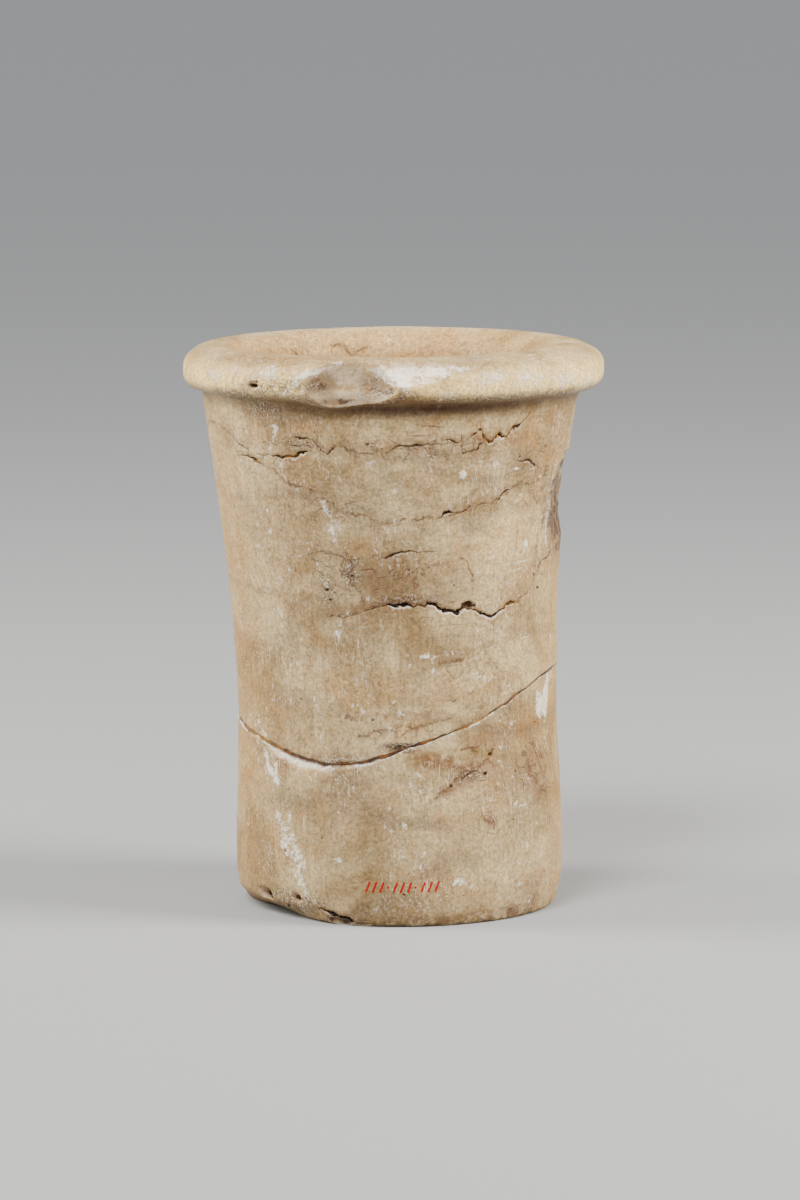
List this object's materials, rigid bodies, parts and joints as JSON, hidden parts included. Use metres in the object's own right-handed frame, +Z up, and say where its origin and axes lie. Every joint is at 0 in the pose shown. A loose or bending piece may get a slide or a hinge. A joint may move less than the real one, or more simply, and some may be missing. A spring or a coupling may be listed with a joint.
{
  "type": "stone cylinder jar",
  "caption": "Open stone cylinder jar with waisted wall, flared neck and rolled rim, chipped, broken across the wall and joined again.",
  "frame": {"origin": "middle of the flat underside of the foot, on the surface the jar stands on", "axes": "+Z up through the mouth, -Y towards the front with the chipped part of the rim, +X towards the flank with the flake"},
  "size_m": [0.093, 0.093, 0.1253],
  "materials": {
    "upper_stone": "satin",
    "lower_stone": "satin",
    "adhesive": "gloss"
  },
  "bodies": {
    "root": {"jar_upper_fragment": "upper_stone", "jar_lower_fragment": "lower_stone", "join_adhesive": "adhesive"}
  },
  "joints": []
}
